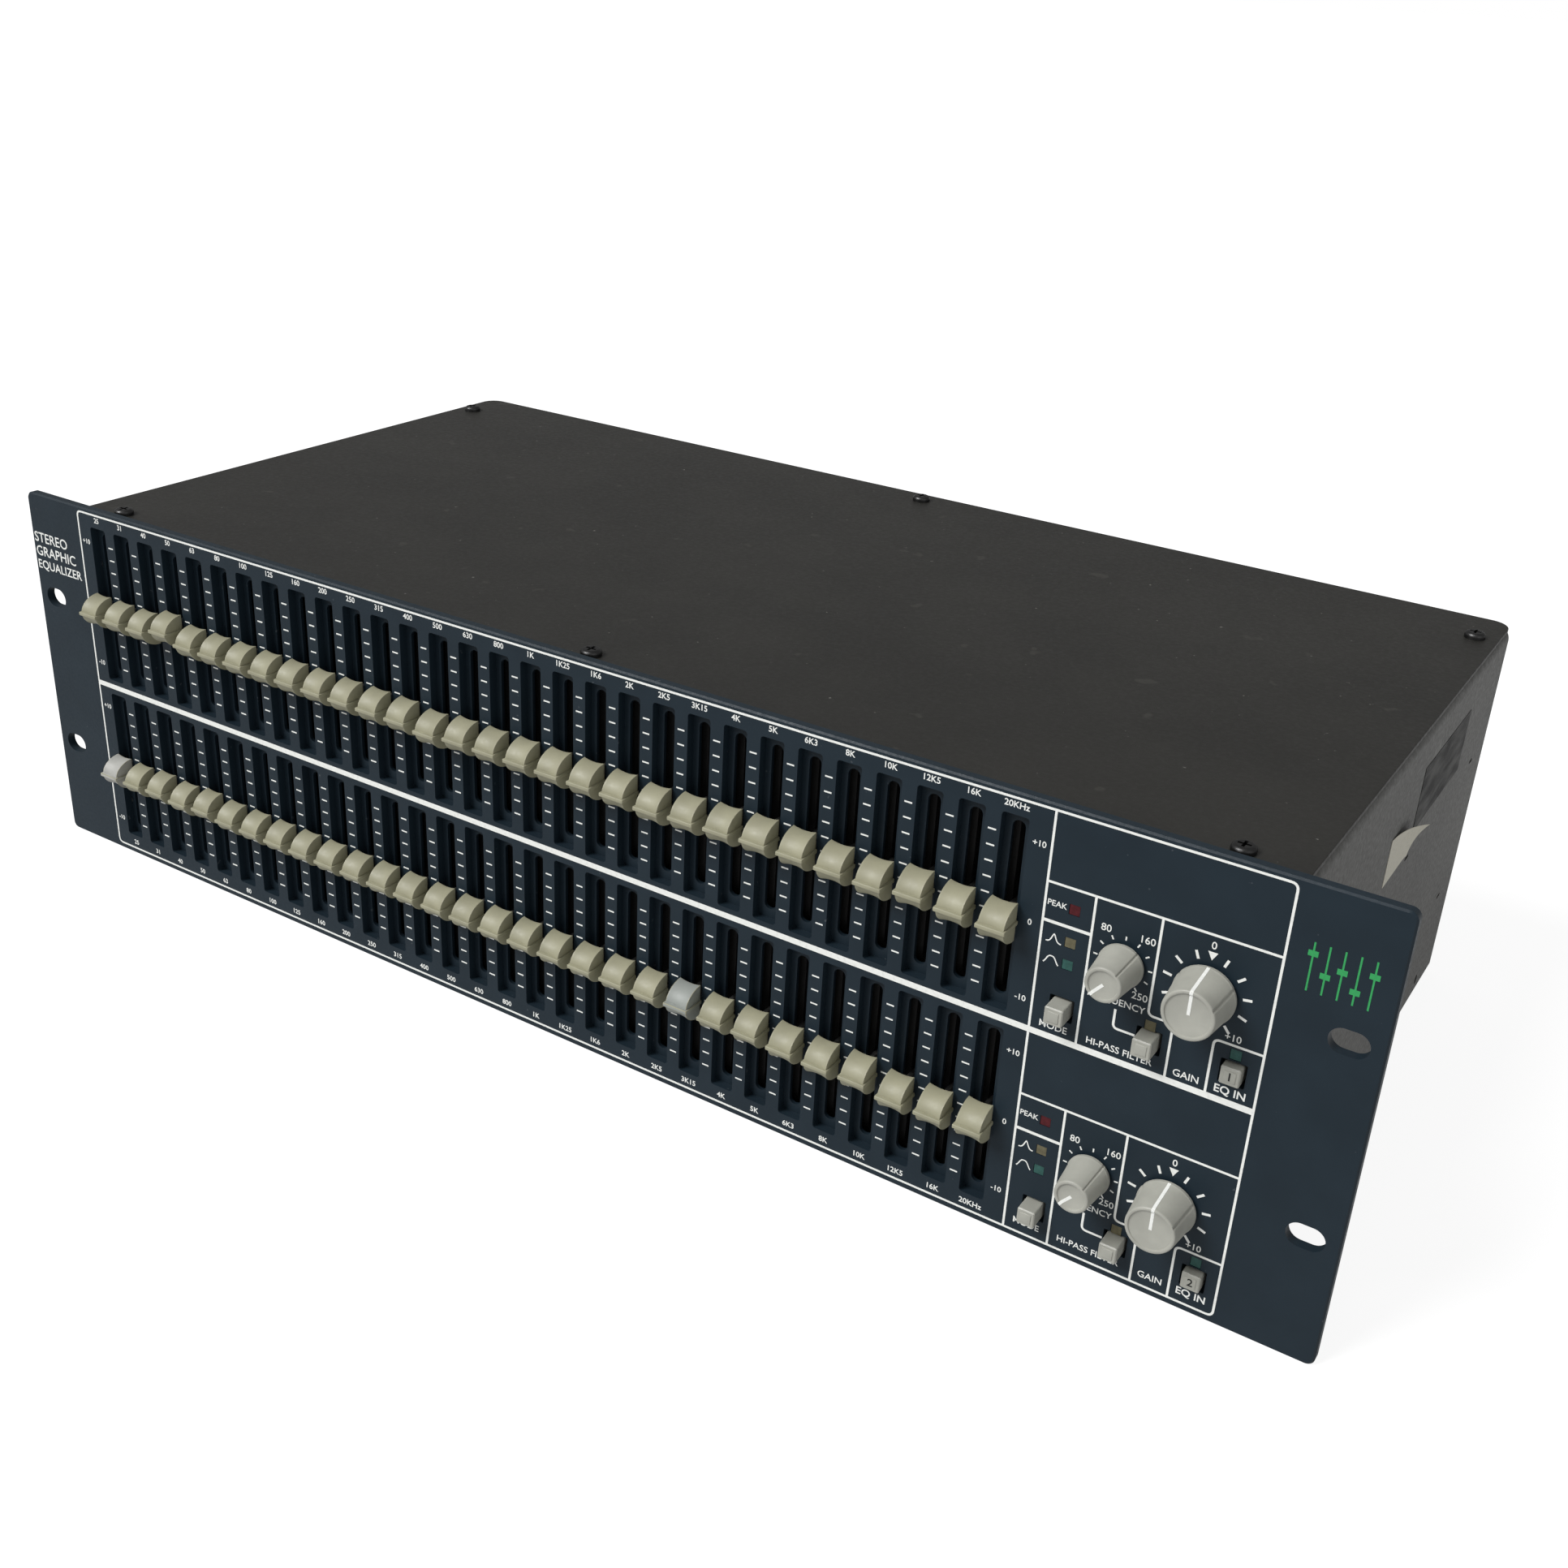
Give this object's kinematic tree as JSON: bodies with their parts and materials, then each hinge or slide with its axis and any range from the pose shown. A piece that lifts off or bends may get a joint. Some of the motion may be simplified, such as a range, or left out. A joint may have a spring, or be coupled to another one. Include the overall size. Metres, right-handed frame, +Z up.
{
  "type": "graphic equalizer",
  "caption": "Rack-mounting two-channel graphic equalizer: wide panel with two rows of slide faders, rotary knobs, square push buttons and lamps, on a flat sheet-metal case.",
  "frame": {"origin": "centre of the four rack slots, on the front face of the panel", "axes": "+X to the right along the panel as its user sees it, +Y into the case, +Z up"},
  "size_m": [0.4826, 0.2375, 0.1329],
  "materials": {
    "panel_paint": "satin dark blue-grey paint",
    "cover_paint": "fine-textured warm black powder coat",
    "zinc_steel": "bright zinc plating",
    "black_screws": "black zinc plating",
    "board_green": "solder-resist green",
    "black_plastic": "moulded black",
    "bright_aluminium": "plain extruded",
    "winding": "varnished winding tape",
    "connector_shell": "satin nickel",
    "ribbon": "grey flat cable",
    "red_lens": "diffused red, unlit",
    "amber_lens": "diffused amber, unlit",
    "green_lens": "diffused green, unlit",
    "fader_plastic": "fine-textured khaki moulding",
    "control_plastic": "warm light grey moulding"
  },
  "bodies": {
    "chassis": {"front_panel": "panel_paint", "sub_panel": "panel_paint", "chassis_tray": "cover_paint", "top_cover": "cover_paint", "rear_panel": "cover_paint", "panel_studs": "zinc_steel", "board_standoffs": "zinc_steel", "board_screws": "zinc_steel", "transformer_bolt": "zinc_steel", "cover_screws": "black_screws", "rear_screws": "black_screws", "fader_board": "board_green", "control_board": "board_green", "main_board": "board_green", "fader_tracks": "black_plastic", "filter_chips": "black_plastic", "board_capacitors": "black_plastic", "mains_inlet": "black_plastic", "fuse_holder": "black_plastic", "push_switches": "black_plastic", "control_pots": "bright_aluminium", "heat_sink": "bright_aluminium", "mains_transformer": "winding", "input_sockets": "connector_shell", "output_plugs": "connector_shell", "ribbon_cables": "ribbon", "peak_lamps": "red_lens", "amber_lamps": "amber_lens", "green_lamps": "green_lens"},
    "upper_faders_31hz": {"upper_faders_31hz": "fader_plastic"},
    "upper_faders_63hz": {"upper_faders_63hz": "fader_plastic"},
    "upper_faders_125hz": {"upper_faders_125hz": "fader_plastic"},
    "upper_faders_250hz": {"upper_faders_250hz": "fader_plastic"},
    "upper_faders_500hz": {"upper_faders_500hz": "fader_plastic"},
    "upper_faders_1khz": {"upper_faders_1khz": "fader_plastic"},
    "upper_faders_2khz": {"upper_faders_2khz": "fader_plastic"},
    "upper_faders_4khz": {"upper_faders_4khz": "fader_plastic"},
    "upper_faders_8khz": {"upper_faders_8khz": "fader_plastic"},
    "upper_faders_16khz": {"upper_faders_16khz": "fader_plastic"},
    "lower_faders_31hz": {"lower_faders_31hz": "fader_plastic"},
    "lower_faders_63hz": {"lower_faders_63hz": "fader_plastic"},
    "lower_faders_125hz": {"lower_faders_125hz": "fader_plastic"},
    "lower_faders_250hz": {"lower_faders_250hz": "fader_plastic"},
    "lower_faders_500hz": {"lower_faders_500hz": "fader_plastic"},
    "lower_faders_1khz": {"lower_faders_1khz": "fader_plastic"},
    "lower_faders_2khz": {"lower_faders_2khz": "fader_plastic"},
    "lower_faders_4khz": {"lower_faders_4khz": "fader_plastic"},
    "lower_faders_8khz": {"lower_faders_8khz": "fader_plastic"},
    "lower_faders_16khz": {"lower_faders_16khz": "fader_plastic"},
    "upper_gain_knob": {"upper_gain_knob": "control_plastic"},
    "upper_frequency_knob": {"upper_frequency_knob": "control_plastic"},
    "upper_mode_button": {"upper_mode_button": "control_plastic"},
    "upper_filter_button": {"upper_filter_button": "control_plastic"},
    "upper_eq_button": {"upper_eq_button": "control_plastic"},
    "lower_gain_knob": {"lower_gain_knob": "control_plastic"},
    "lower_frequency_knob": {"lower_frequency_knob": "control_plastic"},
    "lower_mode_button": {"lower_mode_button": "control_plastic"},
    "lower_filter_button": {"lower_filter_button": "control_plastic"},
    "lower_eq_button": {"lower_eq_button": "control_plastic"}
  },
  "joints": [
    {"name": "upper_faders_31hz_slide", "type": "slide", "parent": "chassis", "child": "upper_faders_31hz", "axis": [0, 0, 1], "range_m": [-0.0215, 0.0235]},
    {"name": "upper_faders_63hz_slide", "type": "slide", "parent": "chassis", "child": "upper_faders_63hz", "axis": [0, 0, 1], "range_m": [-0.0215, 0.0213]},
    {"name": "upper_faders_125hz_slide", "type": "slide", "parent": "chassis", "child": "upper_faders_125hz", "axis": [0, 0, 1], "range_m": [-0.0215, 0.0235]},
    {"name": "upper_faders_250hz_slide", "type": "slide", "parent": "chassis", "child": "upper_faders_250hz", "axis": [0, 0, 1], "range_m": [-0.0215, 0.0235]},
    {"name": "upper_faders_500hz_slide", "type": "slide", "parent": "chassis", "child": "upper_faders_500hz", "axis": [0, 0, 1], "range_m": [-0.0205, 0.0235]},
    {"name": "upper_faders_1khz_slide", "type": "slide", "parent": "chassis", "child": "upper_faders_1khz", "axis": [0, 0, 1], "range_m": [-0.0215, 0.0235]},
    {"name": "upper_faders_2khz_slide", "type": "slide", "parent": "chassis", "child": "upper_faders_2khz", "axis": [0, 0, 1], "range_m": [-0.0208, 0.0235]},
    {"name": "upper_faders_4khz_slide", "type": "slide", "parent": "chassis", "child": "upper_faders_4khz", "axis": [0, 0, 1], "range_m": [-0.0215, 0.0227]},
    {"name": "upper_faders_8khz_slide", "type": "slide", "parent": "chassis", "child": "upper_faders_8khz", "axis": [0, 0, 1], "range_m": [-0.0215, 0.0227]},
    {"name": "upper_faders_16khz_slide", "type": "slide", "parent": "chassis", "child": "upper_faders_16khz", "axis": [0, 0, 1], "range_m": [-0.0215, 0.0223]},
    {"name": "lower_faders_31hz_slide", "type": "slide", "parent": "chassis", "child": "lower_faders_31hz", "axis": [0, 0, 1], "range_m": [-0.0215, 0.0229]},
    {"name": "lower_faders_63hz_slide", "type": "slide", "parent": "chassis", "child": "lower_faders_63hz", "axis": [0, 0, 1], "range_m": [-0.0215, 0.0227]},
    {"name": "lower_faders_125hz_slide", "type": "slide", "parent": "chassis", "child": "lower_faders_125hz", "axis": [0, 0, 1], "range_m": [-0.0215, 0.0235]},
    {"name": "lower_faders_250hz_slide", "type": "slide", "parent": "chassis", "child": "lower_faders_250hz", "axis": [0, 0, 1], "range_m": [-0.0215, 0.0235]},
    {"name": "lower_faders_500hz_slide", "type": "slide", "parent": "chassis", "child": "lower_faders_500hz", "axis": [0, 0, 1], "range_m": [-0.0215, 0.0235]},
    {"name": "lower_faders_1khz_slide", "type": "slide", "parent": "chassis", "child": "lower_faders_1khz", "axis": [0, 0, 1], "range_m": [-0.0215, 0.0235]},
    {"name": "lower_faders_2khz_slide", "type": "slide", "parent": "chassis", "child": "lower_faders_2khz", "axis": [0, 0, 1], "range_m": [-0.0215, 0.0235]},
    {"name": "lower_faders_4khz_slide", "type": "slide", "parent": "chassis", "child": "lower_faders_4khz", "axis": [0, 0, 1], "range_m": [-0.02175, 0.023]},
    {"name": "lower_faders_8khz_slide", "type": "slide", "parent": "chassis", "child": "lower_faders_8khz", "axis": [0, 0, 1], "range_m": [-0.0212, 0.0235]},
    {"name": "lower_faders_16khz_slide", "type": "slide", "parent": "chassis", "child": "lower_faders_16khz", "axis": [0, 0, 1], "range_m": [-0.0199, 0.0239]},
    {"name": "upper_gain_knob_turn", "type": "hinge", "parent": "chassis", "child": "upper_gain_knob", "pos_m": [0.1978, 0, 0.0289], "axis": [0, 1, 0], "range_deg": [-141, 141]},
    {"name": "upper_frequency_knob_turn", "type": "hinge", "parent": "chassis", "child": "upper_frequency_knob", "pos_m": [0.1762, 0, 0.029], "axis": [0, 1, 0], "range_deg": [0, 280]},
    {"name": "upper_mode_button_press", "type": "slide", "parent": "chassis", "child": "upper_mode_button", "axis": [0, 1, 0], "range_m": [0, 0.003], "stiffness_N_per_m": 120},
    {"name": "upper_filter_button_press", "type": "slide", "parent": "chassis", "child": "upper_filter_button", "axis": [0, 1, 0], "range_m": [0, 0.003], "stiffness_N_per_m": 120},
    {"name": "upper_eq_button_press", "type": "slide", "parent": "chassis", "child": "upper_eq_button", "axis": [0, 1, 0], "range_m": [-0.003, 0]},
    {"name": "lower_gain_knob_turn", "type": "hinge", "parent": "chassis", "child": "lower_gain_knob", "pos_m": [0.1978, 0, -0.0354], "axis": [0, 1, 0], "range_deg": [-141, 141]},
    {"name": "lower_frequency_knob_turn", "type": "hinge", "parent": "chassis", "child": "lower_frequency_knob", "pos_m": [0.1762, 0, -0.0353], "axis": [0, 1, 0], "range_deg": [0, 280]},
    {"name": "lower_mode_button_press", "type": "slide", "parent": "chassis", "child": "lower_mode_button", "axis": [0, 1, 0], "range_m": [0, 0.003], "stiffness_N_per_m": 120},
    {"name": "lower_filter_button_press", "type": "slide", "parent": "chassis", "child": "lower_filter_button", "axis": [0, 1, 0], "range_m": [0, 0.003], "stiffness_N_per_m": 120},
    {"name": "lower_eq_button_press", "type": "slide", "parent": "chassis", "child": "lower_eq_button", "axis": [0, 1, 0], "range_m": [-0.003, 0]}
  ]
}
